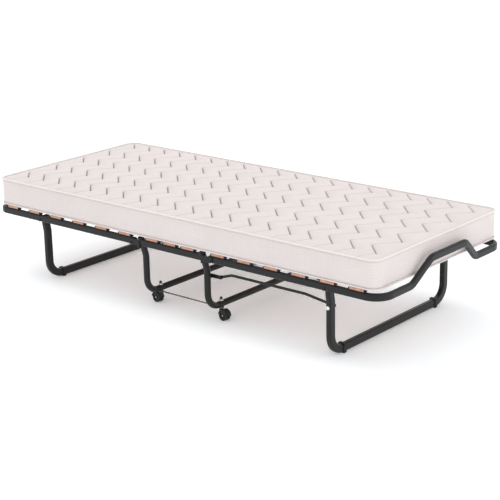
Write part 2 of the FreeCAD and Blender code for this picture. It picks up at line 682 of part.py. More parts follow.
def caster_stems():
    """Threaded stems through the wheel legs, each with a washer, a nut and a domed cap on top."""
    stems = []
    tube_top = size("wheel_leg_low_z") + size("wheel_leg_radius")
    nut_z = tube_top + size("washer_thick")
    cap_z = nut_z + size("nut_thick")
    for end, sign in ENDS:
        for side, way in SIDES:
            name = f"{end}_{side}_stem"
            x = sign * size("wheel_leg_x")
            y = way * size("caster_y")
            low = size("stem_low")
            dome = doc.addObject("Part::Sphere", name + "_dome")
            bind(dome, Radius="stem_cap_radius")
            dome.Placement.Base = Vector(x, y, cap_z + size("stem_cap_height"))
            stems.append(fuse(name, [
                cylinder(name + "_shank", "stem_radius", str(cap_z - low), (x, y, low)),
                cylinder(name + "_washer", "washer_radius", "washer_thick", (x, y, tube_top)),
                cylinder(name + "_nut", "nut_radius", "nut_thick", (x, y, nut_z)),
                cylinder(name + "_cap", "stem_cap_radius", "stem_cap_height", (x, y, cap_z)),
                dome,
            ]))
    return stems


publish(group("caster_stem_group", caster_stems()), "caster_stems")


def spacer_rod(side, way):
    """Thin rod under the wheel legs with a flat eye round each caster stem."""
    reach = size("wheel_leg_x")
    y = way * size("caster_y")
    eye_low = size("rod_z") - size("rod_eye_thick") / 2
    parts = [cylinder(side + "_rod_bar", "rod_radius", "( wheel_leg_x - rod_start ) * 2",
                      (size("rod_start") - reach, y, size("rod_z")), (1, 0, 0))]
    holes = []
    for end, sign in ENDS:
        parts.append(cylinder(f"{side}_{end}_rod_eye", "rod_eye_radius", "rod_eye_thick",
                              (sign * reach, y, eye_low)))
        holes.append(cylinder(f"{side}_{end}_rod_hole", "stem_radius + stem_clearance",
                              f"rod_eye_thick + {2 * OVERSHOOT}", (sign * reach, y, eye_low - OVERSHOOT)))
    publish(cut(side + "_rod", fuse(side + "_rod_blank", parts), holes), "spacer_rod_" + side)


for side, way in SIDES:
    spacer_rod(side, way)


# ---------------------------------------------------------------- mattress

def mattress_slab():
    """The whole mattress as one slab with rounded corners in plan."""
    outline = doc.addObject("Sketcher::SketchObject", "mattress_outline")
    rounded_rectangle(outline, "mattress_length", "mattress_width", "mattress_corner")
    middle_x = size("mattress_foot_x") + size("mattress_length") / 2
    outline.Placement.Base = Vector(middle_x, 0, mattress_z)
    slab = doc.addObject("Part::Extrusion", "mattress_slab")
    slab.Base = outline
    slab.DirMode = "Custom"
    slab.Dir = Vector(0, 0, 1)
    slab.Solid = True
    bind(slab, LengthFwd="mattress_thick")
    return slab


def mattress_part(name, slab, low_start, low_end, top_start, top_end):
    """The stretch of the slab between two planes that lean through the fold hinges."""
    wedge = doc.addObject("Part::Wedge", name + "_wedge")
    wedge.Xmin, wedge.Xmax = low_start, low_end
    wedge.X2min, wedge.X2max = top_start, top_end
    wedge.Ymin = 0
    bind(wedge, Ymax="mattress_thick")
    wedge.Zmin, wedge.Zmax = -BEYOND, BEYOND
    wedge.Z2min, wedge.Z2max = -BEYOND, BEYOND
    wedge.Placement = Placement(Vector(0, 0, mattress_z), Rotation(Vector(1, 0, 0), 90))
    part = doc.addObject("Part::Common", name + "_part")
    part.Base = slab
    part.Tool = wedge
    publish(part, name)


slab = mattress_slab()
gap = size("fold_gap")
low_reach = mattress_z - hinge_z
top_reach = low_reach + size("mattress_thick")
outer_low, inner_low = hinge_x + low_reach, hinge_x - low_reach
outer_top, inner_top = hinge_x + top_reach, hinge_x - top_reach
BEYOND = 1100  # past every end and side of the mattress
mattress_part("mattress_foot", slab, -BEYOND, -outer_low - gap, -BEYOND, -outer_top - gap)
mattress_part("mattress_fold_foot", slab, -outer_low, -inner_low, -outer_top, -inner_top)
mattress_part("mattress_middle", slab, gap - inner_low, inner_low - gap, gap - inner_top, inner_top - gap)
mattress_part("mattress_fold_head", slab, inner_low, outer_low, inner_top, outer_top)
mattress_part("mattress_head", slab, outer_low + gap, BEYOND, outer_top + gap, BEYOND)


# ---------------------------------------------------------------- check and write

doc.recompute()
failed = [thing.Name for thing in doc.Objects
          if "Invalid" in thing.State or "Error" in thing.State]
for thing in nodes:
    if thing.Shape.isNull() or not thing.Shape.isValid():
        failed.append(thing.Label)
if failed:
    raise RuntimeError("failed objects: " + ", ".join(failed))

os.makedirs("parts", exist_ok=True)
whole = FreeCAD.BoundBox()
for thing in nodes:
    thing.Shape.exportStep(os.path.join("parts", thing.Label + ".step"))
    whole.add(thing.Shape.BoundBox)
    print(f"{thing.Label}: {len(thing.Shape.Solids)} solid(s), {thing.Shape.Volume / 1000:.1f} cm3")
print(f"{len(nodes)} nodes, box {whole}")
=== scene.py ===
"""Looks of the rollaway bed: the quilted mattress, every material, the floor, the lights and the camera.

Metres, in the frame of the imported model: +X runs from the foot end to the head end, +Z is up.
"""

import json
import math

import bmesh
import bpy
import numpy as np
from mathutils import Matrix, Vector
from mathutils.kdtree import KDTree


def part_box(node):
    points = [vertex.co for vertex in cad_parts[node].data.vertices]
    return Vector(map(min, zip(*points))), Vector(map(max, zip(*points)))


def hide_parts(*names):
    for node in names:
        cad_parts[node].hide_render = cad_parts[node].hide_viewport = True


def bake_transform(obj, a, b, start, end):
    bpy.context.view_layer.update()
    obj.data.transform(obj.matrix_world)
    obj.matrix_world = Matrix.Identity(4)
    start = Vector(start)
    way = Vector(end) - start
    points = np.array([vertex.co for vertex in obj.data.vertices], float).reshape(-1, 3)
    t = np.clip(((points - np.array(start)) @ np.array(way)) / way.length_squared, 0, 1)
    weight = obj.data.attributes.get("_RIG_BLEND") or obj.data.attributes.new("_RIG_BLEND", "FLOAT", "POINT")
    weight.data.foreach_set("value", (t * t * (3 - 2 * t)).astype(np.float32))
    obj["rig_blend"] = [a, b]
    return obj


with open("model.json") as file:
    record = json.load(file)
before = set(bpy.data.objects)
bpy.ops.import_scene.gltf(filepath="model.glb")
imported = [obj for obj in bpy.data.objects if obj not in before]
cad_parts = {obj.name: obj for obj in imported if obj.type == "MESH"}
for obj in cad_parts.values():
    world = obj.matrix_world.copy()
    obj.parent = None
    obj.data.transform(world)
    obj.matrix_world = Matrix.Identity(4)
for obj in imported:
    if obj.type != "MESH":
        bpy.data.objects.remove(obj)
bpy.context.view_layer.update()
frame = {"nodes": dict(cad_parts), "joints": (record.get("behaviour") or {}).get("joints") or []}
nodes = frame["nodes"]
hinge = {joint["name"]: Vector(joint["pos_m"]) for joint in frame["joints"]}


# ---------------------------------------------------------------- camera

FOCAL_LENGTH = 102.17
SENSOR_WIDTH = 36.0
CAMERA_PLACE = Vector((3.4663, -4.0560, 1.8382))
CAMERA_YAW = -0.6997
CAMERA_PITCH = 0.3035
CAMERA_ROLL = -0.0187


def camera_matrix():
    """The camera's axes and place, from its turn about the vertical, its dip and its roll."""
    level = math.cos(CAMERA_PITCH)
    forward = Vector((
        level * math.sin(CAMERA_YAW), level * math.cos(CAMERA_YAW), -math.sin(CAMERA_PITCH)
    ))
    right = Vector((math.cos(CAMERA_YAW), -math.sin(CAMERA_YAW), 0.0))
    roll = Matrix.Rotation(-CAMERA_ROLL, 3, forward)
    right = roll @ right
    up = right.cross(forward)
    turned = Matrix((right, up, -forward)).transposed().to_4x4()
    return Matrix.Translation(CAMERA_PLACE) @ turned


camera = bpy.data.objects.new("camera", bpy.data.cameras.new("camera"))
camera.data.lens = FOCAL_LENGTH
camera.data.sensor_width = SENSOR_WIDTH
camera.data.clip_end = 200.0
camera.matrix_world = camera_matrix()
bpy.context.scene.collection.objects.link(camera)
bpy.context.scene.camera = camera


# ---------------------------------------------------------------- material tools


class Shader:
    """One Principled material and short ways to add the nodes that drive it."""

    def __init__(self, name, place="object", **constants):
        self.material = bpy.data.materials.new(name)
        self.material.use_nodes = True
        self.tree = self.material.node_tree
        self.surface = self.tree.nodes["Principled BSDF"]
        for socket, value in constants.items():
            self.surface.inputs[socket.replace("_", " ")].default_value = value
        if place == "object":
            self.place = self.add("ShaderNodeTexCoord").outputs["Object"]
        else:
            self.place = self.add("ShaderNodeAttribute", attribute_name=place).outputs["Vector"]

    def add(self, kind, sockets=None, **settings):
        """A new node; each socket takes a value or another node's output."""
        made = self.tree.nodes.new(kind)
        for key, value in settings.items():
            setattr(made, key, value)
        for key, value in (sockets or {}).items():
            if isinstance(value, bpy.types.NodeSocket):
                self.tree.links.new(value, made.inputs[key])
            else:
                made.inputs[key].default_value = value
        return made

    def attribute(self, name):
        return self.add("ShaderNodeAttribute", attribute_name=name).outputs["Fac"]

    def stretched(self, scale):
        """The place on the surface with each axis scaled, for grain that runs one way."""
        moved = self.add("ShaderNodeMapping", {"Vector": self.place, "Scale": scale})
        return moved.outputs["Vector"]

    def noise(self, scale, detail=3.0, roughness=0.5, place=None):
        made = self.add("ShaderNodeTexNoise", {
            "Vector": place or self.place, "Scale": scale, "Detail": detail, "Roughness": roughness
        })
        return made.outputs["Fac"]

    def cells(self, scale):
        made = self.add("ShaderNodeTexVoronoi", {"Vector": self.place, "Scale": scale})
        return made.outputs["Distance"]

    def height(self):
        """How high the place on the surface is."""
        return self.add("ShaderNodeSeparateXYZ", {"Vector": self.place}).outputs["Z"]

    def waves(self, scale, direction, place=None, distortion=0.0):
        made = self.add("ShaderNodeTexWave", {
            "Vector": place or self.place, "Scale": scale, "Distortion": distortion,
            "Detail": 2.0, "Detail Scale": 1.5,
        }, bands_direction=direction)
        return made.outputs["Fac"]

    def sum(self, first, second, weight=1.0):
        """first + weight * second."""
        made = self.add("ShaderNodeMath", {0: second, 1: weight, 2: first}, operation="MULTIPLY_ADD")
        return made.outputs["Value"]

    def times(self, first, second):
        return self.add("ShaderNodeMath", {0: first, 1: second}, operation="MULTIPLY").outputs["Value"]

    def between(self, value, low, high, start=0.0, end=1.0):
        """start up to low, end from high, and a straight line between them."""
        made = self.add("ShaderNodeMapRange", {
            "Value": value, "From Min": low, "From Max": high, "To Min": start, "To Max": end
        })
        return made.outputs["Result"]

    def colours(self, value, stops):
        """A colour ramp through (position, colour) stops."""
        made = self.add("ShaderNodeValToRGB", {"Fac": value})
        ramp = made.color_ramp
        while len(ramp.elements) < len(stops):
            ramp.elements.new(1.0)
        for element, (position, colour) in zip(ramp.elements, stops):
            element.position = position
            element.color = (*colour, 1.0)
        return made.outputs["Color"]

    def mix(self, share, first, second):
        """first where share is 0, second where it is 1; each is a colour or an output."""
        made = self.add("ShaderNodeMix", {"Factor": share}, data_type="RGBA")
        for socket, value in ((made.inputs[6], first), (made.inputs[7], second)):
            if isinstance(value, bpy.types.NodeSocket):
                self.tree.links.new(value, socket)
            else:
                socket.default_value = (*value, 1.0)
        return made.outputs[2]

    def bump(self, height, depth, strength=1.0, normal=None):
        """A bump of that depth in metres, on top of another bump if one is given."""
        sockets = {"Height": height, "Distance": depth, "Strength": strength}
        if normal:
            sockets["Normal"] = normal
        return self.add("ShaderNodeBump", sockets).outputs["Normal"]

    def drive(self, socket, value):
        """Let a node's output set one of the surface's sockets."""
        self.tree.links.new(value, self.surface.inputs[socket])

    def finish(self, colour, roughness, normal):
        self.drive("Base Color", colour)
        self.drive("Roughness", roughness)
        self.drive("Normal", normal)
        return self.material


# ---------------------------------------------------------------- hard materials


def powder_coat():
    """Satin black powder coat: fine orange peel, faint mottling, small dull scuffs."""
    made = Shader("frame_paint", Specular_IOR_Level=0.30)
    mottling = made.noise(7.0, 4.0, 0.6)
    peel = made.noise(900.0, 2.0)
    scuffs = made.between(made.noise(38.0, 6.0, 0.72), 0.66, 0.74)
    paint = made.colours(mottling, ((0.3, (0.0062, 0.0062, 0.0066)), (0.7, (0.0108, 0.0105, 0.0105))))
    colour = made.mix(made.times(scuffs, 0.35), paint, (0.045, 0.043, 0.041))
    roughness = made.sum(made.between(mottling, 0.3, 0.7, 0.30, 0.40), scuffs, 0.14)
    return made.finish(colour, roughness, made.bump(peel, 0.00025, 0.5))


def moulded_plastic(name, colour, gloss):
    """Black moulded plastic with a spark-eroded grain and slightly greyed high spots."""
    made = Shader(name, Specular_IOR_Level=0.3)
    grain = made.cells(650.0)
    bloom = made.noise(24.0, 5.0, 0.65)
    grey = tuple(min(1.0, 2.3 * part) for part in colour)
    tone = made.colours(bloom, ((0.35, colour), (0.75, grey)))
    roughness = made.between(bloom, 0.3, 0.75, gloss, gloss + 0.16)
    return made.finish(tone, roughness, made.bump(grain, 0.00012, 0.6))


def zinc_plate():
    """Bright zinc plate: soft spangle, cool with a straw tint in places, fine brush marks."""
    made = Shader("zinc", Metallic=0.95)
    spangle = made.noise(120.0, 4.0, 0.6)
    brushing = made.noise(400.0, 2.0, 0.5, made.stretched((1.0, 1.0, 12.0)))
    tone = made.colours(spangle, (
        (0.3, (0.62, 0.63, 0.66)), (0.6, (0.78, 0.78, 0.78)), (0.8, (0.80, 0.76, 0.66))
    ))
    roughness = made.between(spangle, 0.3, 0.75, 0.24, 0.42)
    return made.finish(tone, roughness, made.bump(brushing, 0.00005, 0.5))


def drawn_steel():
    """Plain drawn rod: grey brown, with lengthwise draw lines and small dark stains."""
    made = Shader("rod_steel", Metallic=0.8)
    stains = made.noise(55.0, 5.0, 0.7)
    lines = made.noise(700.0, 2.0, 0.5, made.stretched((0.03, 1.0, 1.0)))
    tone = made.colours(stains, ((0.35, (0.13, 0.11, 0.095)), (0.62, (0.25, 0.225, 0.20))))
    roughness = made.between(stains, 0.3, 0.7, 0.55, 0.34)
    return made.finish(tone, roughness, made.bump(lines, 0.00006, 0.6))


def bent_beech():
    """Steamed beech with the grain along the slat, short dark flecks and a thin lacquer."""
    made = Shader("beech", Coat_Weight=0.25, Coat_Roughness=0.3)
    warp = made.stretched((26.0, 1.6, 26.0))
    grain = made.noise(3.0, 6.0, 0.62, warp)
    pores = made.between(made.noise(60.0, 2.0, 0.6, made.stretched((9.0, 0.7, 9.0))), 0.60, 0.72)
    board = made.noise(5.0, 1.0)
    wood = made.colours(grain, (
        (0.25, (0.36, 0.148, 0.084)), (0.5, (0.55, 0.262, 0.162)), (0.75, (0.68, 0.372, 0.248))
    ))
    shade = made.mix(made.between(board, 0.35, 0.65, 0.0, 0.30), wood, (0.44, 0.185, 0.105))
    colour = made.mix(made.times(pores, 0.5), shade, (0.20, 0.078, 0.04))
    roughness = made.between(grain, 0.25, 0.75, 0.55, 0.40)
    relief = made.sum(grain, pores, -0.6)
    return made.finish(colour, roughness, made.bump(relief, 0.0002, 0.5))


STEM_CAP_Z = 0.080
STEM_CAP_EDGE = 0.0002


def caster_stem_metal():
    """Zinc washers and nuts, with the black domed cap that closes each stem above them."""
    made = Shader("stem_zinc")
    on_cap = made.between(made.height(), STEM_CAP_Z - STEM_CAP_EDGE, STEM_CAP_Z + STEM_CAP_EDGE)
    spangle = made.noise(150.0, 4.0, 0.6)
    zinc = made.colours(spangle, ((0.3, (0.55, 0.56, 0.58)), (0.75, (0.76, 0.76, 0.75))))
    tone = made.mix(on_cap, zinc, (0.010, 0.010, 0.010))
    made.drive("Metallic", made.between(on_cap, 0.0, 1.0, 0.9, 0.0))
    roughness = made.between(spangle, 0.3, 0.75, 0.26, 0.44)
    return made.finish(tone, roughness, made.bump(spangle, 0.00008, 0.4))


NEAR_BLACK = (0.007, 0.007, 0.0075)
FRAME_PAINT = powder_coat()
PAD_PLASTIC = moulded_plastic("black_plastic", NEAR_BLACK, 0.46)
CASTER_PLASTIC = moulded_plastic("caster_plastic", (0.008, 0.008, 0.0085), 0.30)
ZINC = zinc_plate()
ROD_STEEL = drawn_steel()
BEECH = bent_beech()
STEM_METAL = caster_stem_metal()

NODE_FINISHES = (
    ("slat_holders", PAD_PLASTIC),
    ("slat_", BEECH),
    ("caster_stems", STEM_METAL),
    ("spacer_rod", ROD_STEEL),
    ("leg_top_caps", PAD_PLASTIC),
)
NODE_ENDINGS = (
    ("_pads", PAD_PLASTIC),
    ("_hood", CASTER_PLASTIC),
    ("_wheel_left", CASTER_PLASTIC),
    ("_wheel_right", CASTER_PLASTIC),
    ("_axle", ZINC),
    ("_bolt", ZINC),
)


def finish_of(name):
    """The material of a CAD node, by the start or the end of its name; the rest is painted steel."""
    for start, material in NODE_FINISHES:
        if name.startswith(start):
            return material
    for ending, material in NODE_ENDINGS:
        if name.endswith(ending):
            return material
    return FRAME_PAINT


for node_name, node_object in nodes.items():
    node_object.data.materials.clear()
    node_object.data.materials.append(finish_of(node_name))


# ---------------------------------------------------------------- mattress sizes

# The two opposite corners of the mattress's box, and the radius of its corners seen from above.
LOW = np.array(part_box("mattress_foot")[0])
HIGH = np.array(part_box("mattress_head")[1])
CORNER = 0.045

BORDER_INSET = 0.0055
SEAM_INSET = 0.0085
SEAM_DROP = 0.0062
PANEL_DROP = 0.0025
CROWN_REACH = 0.018
TUCK_INSET = 0.001
TUCK_DROP = 0.002
BORDER_MARGIN = 0.0105
HEM_HIGH = 0.007
HEM_LOW = 0.0035
UNDERSIDE_INSET = 0.012

STITCH_PITCH = 0.0912
STITCH_START = -0.921
LAST_STITCH = 0.857
ZIGZAG_TOP = 0.3645
ZIGZAG_LENGTH = 0.1556
ZIGZAG_SWING = 0.067
STEEP_SHARE = 0.437
STROKE_CHANGE = 0.05

PIPING_RADIUS = 0.0031
PIPING_INSET = 0.0046
PIPING_DROP = 0.001
PIPING_STEP = 0.008
PIPING_SIDES = 12


def smooth(value):
    """0 up to 0, 1 from 1, and an even S curve between them."""
    value = np.clip(value, 0.0, 1.0)
    return value * value * (3.0 - 2.0 * value)


def corner_centre(points):
    """For each (x, y), the nearest point of the rectangle that the corner arcs turn about."""
    return np.clip(points, LOW[:2] + CORNER, HIGH[:2] - CORNER)


def outward(points):
    """The direction straight out of the outline, for points on it or on a curve inside it."""
    away = points - corner_centre(points)
    return away / np.linalg.norm(away, axis=1, keepdims=True)


def edge_distance(points):
    """How far each (x, y) is inside the outline."""
    centre = (LOW[:2] + HIGH[:2]) / 2
    half = (HIGH[:2] - LOW[:2]) / 2
    past = np.abs(points - centre) - (half - CORNER)
    outside = np.linalg.norm(np.maximum(past, 0.0), axis=1)
    inside = np.minimum(past.max(axis=1), 0.0)
    return CORNER - outside - inside


# ---------------------------------------------------------------- inflated core

CORE_STEP = 0.02
CORE_VOXEL = 0.012
CORE_FRAMES = 20
CORE_PRESSURE = 4.0
LARGEST_SWELL = 0.0055


def outline_loop(inset, step):
    """Points round the outline, inset and evenly spaced, anticlockwise from above."""
    reach = CORNER - inset
    corners = (
        (HIGH[0] - CORNER, HIGH[1] - CORNER, 0.0),
        (LOW[0] + CORNER, HIGH[1] - CORNER, 90.0),
        (LOW[0] + CORNER, LOW[1] + CORNER, 180.0),
        (HIGH[0] - CORNER, LOW[1] + CORNER, 270.0),
    )
    bends = max(4, round(reach * math.pi / 2 / step))
    points = []
    for index, (x, y, start) in enumerate(corners):
        for turn in range(bends + 1):
            angle = math.radians(start + 90.0 * turn / bends)
            points.append((x + reach * math.cos(angle), y + reach * math.sin(angle)))
        following = corners[(index + 1) % 4]
        angle = math.radians(following[2])
        target = np.array((following[0] + reach * math.cos(angle), following[1] + reach * math.sin(angle)))
        last = np.array(points[-1])
        spans = max(1, round(float(np.linalg.norm(target - last)) / step))
        for span in range(1, spans):
            points.append(tuple(last + (target - last) * span / spans))
    return np.array(points)


def new_object(name, vertices, faces):
    mesh = bpy.data.meshes.new(name)
    mesh.from_pydata([tuple(vertex) for vertex in vertices], [], [tuple(face) for face in faces])
    mesh.update()
    made = bpy.data.objects.new(name, mesh)
    bpy.context.scene.collection.objects.link(made)
    return made


def coordinates(mesh):
    flat = np.empty(len(mesh.vertices) * 3)
    mesh.vertices.foreach_get("co", flat)
    return flat.reshape(-1, 3)


def core_slab():
    """The plain foam slab, a little smaller than the mattress, as one closed mesh."""
    outline = outline_loop(BORDER_INSET, CORE_STEP)
    count = len(outline)
    low = np.column_stack((outline, np.full(count, LOW[2])))
    high = np.column_stack((outline, np.full(count, HIGH[2] - PANEL_DROP)))
    faces = [tuple(reversed(range(count))), tuple(range(count, 2 * count))]
    for index in range(count):
        following = (index + 1) % count
        faces.append((index, following, count + following, count + index))
    return new_object("core_slab", np.vstack((low, high)), faces)


def swelling():
    """Where points of the slab lie and how far each one moves when the cover is blown up.

    The flat bottom and both sewn edges are held, so the border bulges and the top crowns.
    """
    slab = core_slab()
    remesh = slab.modifiers.new("remesh", "REMESH")
    remesh.mode = "VOXEL"
    remesh.voxel_size = CORE_VOXEL
    graph = bpy.context.evaluated_depsgraph_get()
    coarse = bpy.data.meshes.new_from_object(slab.evaluated_get(graph))
    slab.modifiers.clear()
    slab.data = coarse
    start = coordinates(coarse)
    distance = edge_distance(start[:, :2]) - BORDER_INSET
    from_top = HIGH[2] - PANEL_DROP - start[:, 2]
    held = (start[:, 2] < LOW[2] + CORE_VOXEL) | ((distance < CORE_VOXEL) & (from_top < CORE_VOXEL))
    group = slab.vertex_groups.new(name="held")
    group.add(np.flatnonzero(held).tolist(), 1.0, "REPLACE")
    cloth = slab.modifiers.new("inflate", "CLOTH")
    cloth.settings.quality = 4
    cloth.settings.use_pressure = True
    cloth.settings.uniform_pressure_force = CORE_PRESSURE
    cloth.settings.effector_weights.gravity = 0.0
    cloth.settings.vertex_group_mass = "held"
    cloth.point_cache.frame_end = CORE_FRAMES
    for number in range(1, CORE_FRAMES + 1):
        bpy.context.scene.frame_set(number)
    graph = bpy.context.evaluated_depsgraph_get()
    blown = bpy.data.meshes.new_from_object(slab.evaluated_get(graph))
    moved = coordinates(blown) - start
    bpy.data.meshes.remove(blown)
    bpy.context.scene.frame_set(1)
    length = np.linalg.norm(moved, axis=1, keepdims=True)
    moved *= LARGEST_SWELL * np.tanh(length / LARGEST_SWELL) / np.maximum(length, 1e-9)
    bpy.data.objects.remove(slab)
    bpy.data.meshes.remove(coarse)
    return start, moved


CORE_POINTS, CORE_MOVES = swelling()
CORE_TREE = KDTree(len(CORE_POINTS))
for core_index, core_point in enumerate(CORE_POINTS):
    CORE_TREE.insert(core_point, core_index)
CORE_TREE.balance()
NEIGHBOURS = 8


def swell(points):
    """The core's movement at each point, averaged over the nearest points of the core."""
    moved = np.empty_like(points)
    for index, point in enumerate(points):
        found = CORE_TREE.find_n(point, NEIGHBOURS)
        near = [item[1] for item in found]
        weight = np.array([1.0 / (item[2] + 0.5 * CORE_VOXEL) ** 2 for item in found])
        moved[index] = weight @ CORE_MOVES[near] / weight.sum()
    return moved


# ---------------------------------------------------------------- quilted cover

BESIDE_STITCH = (0.0015, 0.0030, 0.0050, 0.0080, 0.0130, 0.0200, 0.0290, 0.0380)
BEFORE_STITCH = tuple(-offset for offset in BESIDE_STITCH)
STITCH_OFFSETS = (*BEFORE_STITCH, 0.0, *BESIDE_STITCH, STITCH_PITCH / 2)
ROWS_STEEP = 10
ROWS_LONG = 11
ROWS_CORNER = 12
CLOSEST_ROWS = 0.0015
WELD = 0.0007

STITCH_WIDTH = 0.0030
STITCH_DEPTH_STEEP = 0.0055
STITCH_DEPTH_LONG = 0.0018
PULL_BEFORE = 0.006
PULL_AFTER = 0.022
PULL_DEPTH_STEEP = 0.0062
PULL_DEPTH_LONG = 0.0010
# PULL_SHADE and LONG_SHADE weigh the painted shade beside and along the stitched lines.
PULL_SHADE = 0.13
LONG_SHADE = 0.25
STITCH_FADE = 0.014


def stroke_phase(y):
    """0 at the start of a steep stroke, STEEP_SHARE at its end, and 1 at the end of the long one."""
    return ((ZIGZAG_TOP - y) / ZIGZAG_LENGTH) % 1.0


def zigzag(y):
    """How far a stitched line has swung along X at y: out on a steep stroke and back on a long one."""
    phase = stroke_phase(y)
    return ZIGZAG_SWING * np.minimum(phase / STEEP_SHARE, (1.0 - phase) / (1.0 - STEEP_SHARE))


def on_steep_stroke(y):
    """1 along the steep strokes, 0 along the long ones, with a short change at each point."""
    phase = stroke_phase(y)
    rises = smooth((phase + STROKE_CHANGE / 2) / STROKE_CHANGE)
    falls = smooth((STEEP_SHARE + STROKE_CHANGE / 2 - phase) / STROKE_CHANGE)
    wraps = smooth((phase - 1.0 + STROKE_CHANGE / 2) / STROKE_CHANGE)
    return np.minimum(rises, falls) + wraps


def from_stitch(x, y):
    """The distance along X to the nearest stitched line, negative before it."""
    along = x - STITCH_START - zigzag(y)
    return (along + STITCH_PITCH / 2) % STITCH_PITCH - STITCH_PITCH / 2


def stitching(points):
    """(sunk, shade): how deep the quilting pulls the top down, and how much shade is painted into the colour
    there: in each fold, and as a painted shadow on the +X side of the steep strokes.
    """
    x, y = points[:, 0], points[:, 1]
    away = from_stitch(x, y)
    steep = on_steep_stroke(y)
    fold = np.exp(-((away / STITCH_WIDTH) ** 2))
    pull = np.exp(-np.abs(away) / np.where(away < 0.0, PULL_BEFORE, PULL_AFTER))
    sunk = fold * (STITCH_DEPTH_LONG + steep * (STITCH_DEPTH_STEEP - STITCH_DEPTH_LONG))
    sunk += pull * (PULL_DEPTH_LONG + steep * (PULL_DEPTH_STEEP - PULL_DEPTH_LONG))
    fade = smooth((edge_distance(points) - SEAM_INSET) / STITCH_FADE) * (x - zigzag(y) < LAST_STITCH)
    # shade is painted shade for the colour: darker in each fold, more on the steep strokes, plus a painted
    # shadow on their +X side.
    shade = fold * (LONG_SHADE + (1.0 - LONG_SHADE) * steep) + PULL_SHADE * pull * steep * (away > 0.0)
    return sunk * fade, shade * fade


def panel_rows():
    """The y of each row of the panel: at the points of the zigzag, between them, and round the corners."""
    low, high = LOW[1] + SEAM_INSET, HIGH[1] - SEAM_INSET
    rows = [low, high]
    first = math.floor((ZIGZAG_TOP - high) / ZIGZAG_LENGTH)
    last = math.ceil((ZIGZAG_TOP - low) / ZIGZAG_LENGTH)
    for turn in range(first, last + 1):
        top = ZIGZAG_TOP - turn * ZIGZAG_LENGTH
        bottom = top - STEEP_SHARE * ZIGZAG_LENGTH
        rows.extend(np.linspace(top, bottom, ROWS_STEEP + 1))
        rows.extend(np.linspace(bottom, top - ZIGZAG_LENGTH, ROWS_LONG + 1)[1:-1])
    reach = CORNER - SEAM_INSET
    for step in range(1, ROWS_CORNER):
        rise = reach * (1.0 - math.cos(math.radians(90.0 * step / ROWS_CORNER)))
        rows.extend((low + rise, high - rise))
    rows = sorted(row for row in rows if low <= row <= high)
    kept = [rows[0]]
    for row in rows[1:-1]:
        if row - kept[-1] > CLOSEST_ROWS and rows[-1] - row > CLOSEST_ROWS:
            kept.append(row)
    return np.array([*kept, rows[-1]])


def panel():
    """The flat top panel: (points, faces, boundary loop), with mesh lines along every stitched line.

    Columns beyond the outline are pulled onto it and welded there.
    """
    rows = panel_rows()
    stitches = math.ceil((HIGH[0] - LOW[0]) / STITCH_PITCH) + 2
    starts = STITCH_START + STITCH_PITCH * np.arange(-2, stitches)
    columns = np.sort((starts[:, None] + np.array(STITCH_OFFSETS)[None, :]).ravel())
    reach = CORNER - SEAM_INSET
    middle, half = (LOW[1] + HIGH[1]) / 2, (HIGH[1] - LOW[1]) / 2
    over = np.maximum(np.abs(rows - middle) - (half - CORNER), 0.0)
    back = np.sqrt(np.maximum(reach * reach - over * over, 0.0))
    x = columns[None, :] + zigzag(rows)[:, None]
    x = np.clip(x, (LOW[0] + CORNER - back)[:, None], (HIGH[0] - CORNER + back)[:, None])
    y = np.broadcast_to(rows[:, None], x.shape)
    points = np.column_stack((x.ravel(), y.ravel(), np.zeros(x.size)))
    number = np.arange(x.size).reshape(x.shape)
    quads = np.stack((number[:-1, :-1], number[:-1, 1:], number[1:, 1:], number[1:, :-1]), axis=-1)
    mesh = bpy.data.meshes.new("panel")
    mesh.from_pydata(points.tolist(), [], quads.reshape(-1, 4).tolist())
    work = bmesh.new()
    work.from_mesh(mesh)
    bmesh.ops.remove_doubles(work, verts=work.verts, dist=WELD)
    bmesh.ops.dissolve_degenerate(work, edges=work.edges, dist=1e-6)
    work.verts.index_update()
    points = np.array([vertex.co for vertex in work.verts])
    faces = [[vertex.index for vertex in face.verts] for face in work.faces]
    following = {}
    for edge in work.edges:
        if edge.is_boundary:
            loop = edge.link_loops[0]
            following[loop.vert.index] = loop.link_loop_next.vert.index
    work.free()
    bpy.data.meshes.remove(mesh)
    boundary = [min(following)]
    while following[boundary[-1]] != boundary[0]:
        boundary.append(following[boundary[-1]])
    return points, faces, np.array(boundary)


BORDER_RINGS = 13


def border_profile():
    """(inset, height) of each ring of the border, from under the top piping to the underside."""
    rings = [(SEAM_INSET - TUCK_INSET, HIGH[2] - SEAM_DROP - TUCK_DROP)]
    for height in np.linspace(HIGH[2] - BORDER_MARGIN, LOW[2] + BORDER_MARGIN, BORDER_RINGS):
        rings.append((BORDER_INSET, height))
    rings.append((SEAM_INSET - TUCK_INSET, LOW[2] + HEM_HIGH))
    rings.append((SEAM_INSET, LOW[2] + HEM_LOW))
    return rings


RELIEF_DEPTH = 0.024
RELIEF_LENGTH = 0.021
RELIEF_WIDTH = 0.016
RELIEF_SHIFT = 0.009


def link_relief(points):
    """How far the underside is hollowed over each fold, where that end's link presses into the foam."""
    depth = np.zeros(len(points))
    for link, joint in (("foot_leg_link", "foot_fold"), ("head_leg_link", "head_fold")):
        low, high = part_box(link)
        axis_x = hinge[joint].x
        on_side = points[:, 0] * axis_x > 0.0
        along = (np.abs(points[:, 0]) - abs(axis_x) + RELIEF_SHIFT) / RELIEF_LENGTH
        across = (points[:, 1] - (low[1] + high[1]) / 2) / RELIEF_WIDTH
        depth += on_side * RELIEF_DEPTH * np.exp(-(along ** 2) - across ** 4)
    return depth


